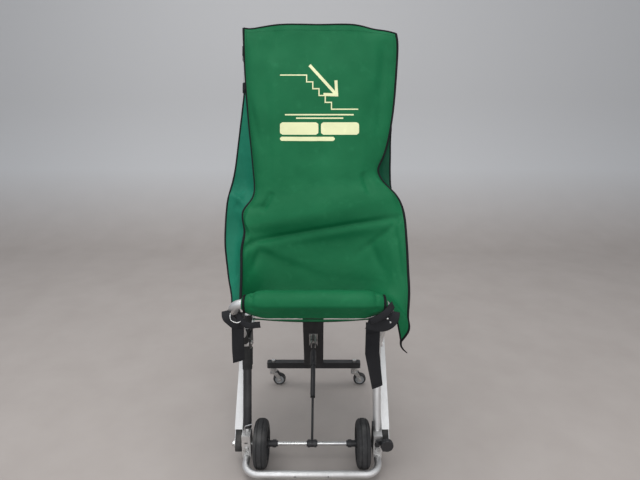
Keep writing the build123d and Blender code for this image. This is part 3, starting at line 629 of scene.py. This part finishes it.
# Front roll: foam round the seat's front tube, under a cover with gathered ends and a flat lower face
ROLL_Y, ROLL_Z = -0.3188, 0.6130
X0, X1 = -0.1775, 0.1985
ROLL_ROWS, ROLL_SIDES = 150, 72
ROLL_R, ROLL_END_R = 0.0385, 0.0155
FACE_TILT, FACE_SHARE, FACE_START = 0.515, 0.74, 0.70
SEAM_ANGLE = 4.62
roll = np.zeros((ROLL_ROWS, ROLL_SIDES, 3))
for i in range(ROLL_ROWS):
    s = i / (ROLL_ROWS - 1)
    x = X0 + (X1 - X0) * s
    near = min(x - X0, X1 - x)
    swell = 1 - (1 - min(1.0, near / 0.074)) ** 2.4
    for k in range(ROLL_SIDES):
        a = 2 * math.pi * k / ROLL_SIDES
        radius = ROLL_END_R + (ROLL_R - ROLL_END_R) * swell
        radius += 0.0016 * math.cos(2 * a - 0.6) * swell
        pleat = math.exp(-((near - 0.030) / 0.013) ** 2)
        radius -= 0.0026 * pleat * max(0.0, math.sin(5 * a + 9 * s))
        radius -= 0.0042 * math.exp(-((near - 0.030) / 0.0045) ** 2) * math.exp(-((a - 1.2) / 0.9) ** 2)
        under = math.cos(a + FACE_TILT)
        if under > FACE_START:
            radius += (FACE_SHARE * radius / under - radius) * swell * min(1.0, (under - FACE_START) / 0.06)
        point = np.array([x, -math.cos(a) * radius, math.sin(a) * radius])
        radius += 0.0011 * soft_noise(point, 30, 4.4) + 0.0004 * soft_noise(point, 90, 8.8)
        seam = min(abs(a - SEAM_ANGLE), 2 * math.pi - abs(a - SEAM_ANGLE))
        radius -= 0.0022 * math.exp(-(seam / 0.09) ** 2) * swell
        y, z = ROLL_Y - math.cos(a) * radius, ROLL_Z + math.sin(a) * radius - 0.0015 * swell
        roll[i, k] = (x, y, z)
index = np.arange(ROLL_ROWS * ROLL_SIDES).reshape(ROLL_ROWS, ROLL_SIDES)
roll_faces = [(int(index[i, k]), int(index[i, (k + 1) % ROLL_SIDES]), int(index[i + 1, (k + 1) % ROLL_SIDES]),
               int(index[i + 1, k])) for i in range(ROLL_ROWS - 1) for k in range(ROLL_SIDES)]
roll_faces += [tuple(map(int, index[0, ::-1])), tuple(map(int, index[-1]))]
around = np.linspace(0, 0.245, ROLL_SIDES)
uv = np.array([(roll[i, 0, 0], around[k]) for i in range(ROLL_ROWS) for k in range(ROLL_SIDES)])
seat_roll = make_object("front_roll", roll.reshape(-1, 3), roll_faces, MATERIALS["green_fabric"], uv)
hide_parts("seat_roll")
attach(seat_roll, "seat_frame")

seam_line = []
for i in range(4, ROLL_ROWS - 4):
    k = int(round(SEAM_ANGLE / (2 * math.pi) * ROLL_SIDES)) % ROLL_SIDES
    seam_line.append(roll[i, k] + np.array([0, -0.0006, -0.0012]))
seam_line = even(seam_line, 120)
trims = [tube("trim", seam_line, 0.0034, BINDING)]
for row in (3, ROLL_ROWS - 4):
    ring = np.array([roll[row, k % ROLL_SIDES] for k in range(ROLL_SIDES + 1)])
    middle = ring[:-1].mean(axis=0)
    trims.append(tube("trim", middle + (ring - middle) * 1.02, 0.0036, BINDING))
roll_trim = join("roll_binding", trims)
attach(roll_trim, "seat_frame")

lower = []
for i in range(9):
    row = []
    for j in range(61):
        s = j / 60
        x = -0.150 + 0.312 * s
        sag = 4 * s * (1 - s)
        row.append((x, -0.3265 + 0.0015 * i, 0.5715 - 0.0011 * i * (0.35 + sag)))
    lower.append(row)
lower = np.array(lower)
flange = shell("roll_flange", lower, CLOTH, MATERIALS["green_fabric"])
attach(flange, "seat_frame")
flange_rim = tube("roll_flange_binding", even(lower[-1], 60), 0.0018, BINDING)
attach(flange_rim, "seat_frame")

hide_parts("back_fabric", "sling", "seat_panel")
follow_fold(hammock)


# Hanging straps of ribbed webbing
def webbing_strap(name, node, top, bottom, sway, cut, bend):
    """Strap in the place of its plain solid, gently curved, with sewn seams across it near its upper and lower
    ends.
    """
    low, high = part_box(node)
    y = (low.y + high.y) / 2
    rows, columns = 60, 16
    grid = np.zeros((rows, columns, 3))
    for i in range(rows):
        s = i / (rows - 1)
        for j in range(columns):
            t = j / (columns - 1)
            lean = max(0.0, s - bend) / (1 - bend)
            above = top[0] + (top[1] - top[0]) * t
            below = bottom[0] + (bottom[1] - bottom[0]) * t
            x = above * (1 - lean) + below * lean
            z = high.z + (low.z - high.z) * s + cut * t * s
            curl = sway * math.sin(2.6 * s) + 0.0012 * math.cos(9 * s + 3 * t) - 0.002 * (2 * t - 1) ** 2
            grid[i, j] = (x, y - curl, z)
    strap = shell(name, grid, WEBBING, MATERIALS["webbing"])
    seams = []
    for row in (2, 9, rows - 4):
        line = even(grid[row, 1:-1], 20)
        seams.append(tube("seam", line + np.array([0, -0.0012, 0]), 0.0006, BINDING, 6))
    return join(name, [strap] + seams)


low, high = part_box("strap_left")
strap_a = webbing_strap("hanging_strap_a", "strap_left", (low.x + 0.002, high.x), (low.x, high.x - 0.003),
                        0.006, 0.012, 0.0)
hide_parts("strap_left")
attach(strap_a, "left_strap")
low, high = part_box("strap_right")
strap_b = webbing_strap("hanging_strap_b", "strap_right", (low.x - 0.008, low.x + 0.030), (0.170, 0.198),
                        0.006, 0.015, 0.45)
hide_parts("strap_right")
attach(strap_b, "right_strap")

# Webbing that wraps the corners of the seat and carries the hanging straps
WRAPS = [
    ([(-188, -322, 584), (-176, -338, 571), (-158, -348, 566), (-128, -346, 567)], 0.016),
    ([(152, -349, 578), (170, -353, 586), (188, -350, 597), (204, -338, 608), (214, -318, 610)], 0.018),
    ([(146, -343, 569), (168, -345, 563), (196, -338, 562), (215, -322, 568), (222, -296, 580)], 0.030),
    ([(-222, -300, 584), (-216, -326, 578), (-200, -334, 566), (-186, -330, 556)], 0.026),
]
wraps = []
for number, (points, width) in enumerate(WRAPS):
    path = even(cubic(millimetres(points), 60), 60)
    forward = np.gradient(path, axis=0)
    forward /= np.linalg.norm(forward, axis=1, keepdims=True)
    across = np.cross(forward, (0, -1, 0.2))
    across /= np.linalg.norm(across, axis=1, keepdims=True)
    grid = np.zeros((60, 9, 3))
    for j in range(9):
        t = j / 4 - 1
        ripple = 0.0010 * np.sin(np.arange(60) * 0.22 + number) - 0.0016 * t * t
        grid[:, j] = path + across * t * width / 2 + np.array([0, -1, 0]) * ripple[:, None]
    wraps.append(shell("wrap", grid, WEBBING, MATERIALS["webbing"]))
wraps = join("corner_webbing", wraps)
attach(wraps, "seat_frame")

# Foam ring above the grip sleeve on the left main tube
ring_line = even([tube_axis("left", 0.428)[0], tube_axis("left", 0.466)[0]], 14)
foam_ring = tube("upper_foam", ring_line, 0.0148, MATERIALS["black_foam"], 32)
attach(foam_ring, "main_frame")

# Black sleeve on the lower end of the left seat arm, just above its pivot
ARM_R = 0.0125
low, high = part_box("seat_tube")
pivot = np.array([low.x + ARM_R, -0.1368, 0.400])
corner = np.array([low.x + ARM_R, low.y + ARM_R, high.z - ARM_R])
arm = (corner - pivot) / np.linalg.norm(corner - pivot)
arm_sleeve = tube("arm_sleeve", even([pivot + arm * 0.017, pivot + arm * 0.066], 14), 0.0137,
                  MATERIALS["black_foam"], 32)
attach(arm_sleeve, "seat_frame")

# Small hardware on the seat clamps
hardware = []
for x, y, z in ((0.199, -0.3335, 0.578), (0.207, -0.331, 0.566), (0.191, -0.333, 0.563)):
    rings = [(0.0032, 0.0), (0.0032, 0.0008), (0.0025, 0.0016), (0.0012, 0.0021)]
    line = [(x, y - d, z) for _, d in rings]
    hardware.append(tube("rivet", line, [r for r, _ in rings], MATERIALS["steel"], 16))
hook = millimetres([(-206, -330, 592), (-205, -337, 578), (-196, -339, 571), (-186, -338, 569),
                    (-178, -334, 572)])
hardware.append(tube("wire", even(cubic(hook, 40), 40), 0.0014, MATERIALS["steel"], 8))
hardware = join("seat_hardware", hardware)
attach(hardware, "seat_frame")

# Camera, floor and light
camera = bpy.data.objects.new("camera", bpy.data.cameras.new("camera"))
camera.location = (0.025, -1.4328, 1.126)
camera.rotation_euler = (math.radians(73), 0, 0)
camera.data.lens = 26.44
camera.data.sensor_width = 36
SCENE.collection.objects.link(camera)
SCENE.camera = camera

profile = [(-4.0, 0.0), (1.9, 0.0)]
profile += [(1.9 + 1.1 * math.sin(a), 1.1 - 1.1 * math.cos(a)) for a in np.linspace(0.1, math.pi / 2, 12)]
profile += [(3.0, 4.5)]
points = [(x, y, z) for y, z in profile for x in (-6.0, 6.0)]
faces = [(2 * i, 2 * i + 1, 2 * i + 3, 2 * i + 2) for i in range(len(profile) - 1)]
floor_material, tree, shader = new_material("pale_floor", roughness=0.75)
tone = blend_colours(tree, spread(tree, grain(tree, 5, 5), 0, 1), (0.41, 0.37, 0.345), (0.38, 0.34, 0.315))
rise = add_node(tree, "ShaderNodeSeparateXYZ", {"Vector": object_space(tree, (1, 1, 1))})
wall_share = spread(tree, rise.outputs[2], 0, 1, 0.0, 0.5)
tree.links.new(blend_colours(tree, wall_share, tone, (0.56, 0.56, 0.565)), shader.inputs["Base Color"])
raise_surface(tree, shader, grain(tree, 22, 5), 0.2, 0.002)
floor = make_object("floor", points, faces, floor_material)

SCENE.world = bpy.data.worlds.new("studio")
SCENE.world.use_nodes = True
SCENE.world.node_tree.nodes["Background"].inputs[0].default_value = (0.80, 0.84, 0.90, 1)
SCENE.world.node_tree.nodes["Background"].inputs[1].default_value = 0.55


def area_light(name, place, target, size, power, colour=(1, 1, 1)):
    light = bpy.data.lights.new(name, "AREA")
    light.shape = "RECTANGLE"
    light.size, light.size_y = size
    light.energy = power
    light.color = colour
    thing = bpy.data.objects.new(name, light)
    thing.location = place
    thing.rotation_euler = (Vector(target) - Vector(place)).to_track_quat("-Z", "Y").to_euler()
    SCENE.collection.objects.link(thing)


area_light("ceiling", (-0.3, -0.2, 3.3), (0, 0.2, 0), (3.2, 2.6), 70)
area_light("left_window", (-2.6, -1.8, 2.2), (0, 0, 0.7), (1.8, 1.6), 14, (0.95, 0.98, 1))
area_light("right_fill", (2.6, -2.0, 1.6), (0, 0, 0.6), (1.6, 1.6), 12, (1, 0.98, 0.95))
area_light("front_fill", (0.2, -3.6, 1.7), (0, 0, 0.8), (2.4, 1.6), 38)
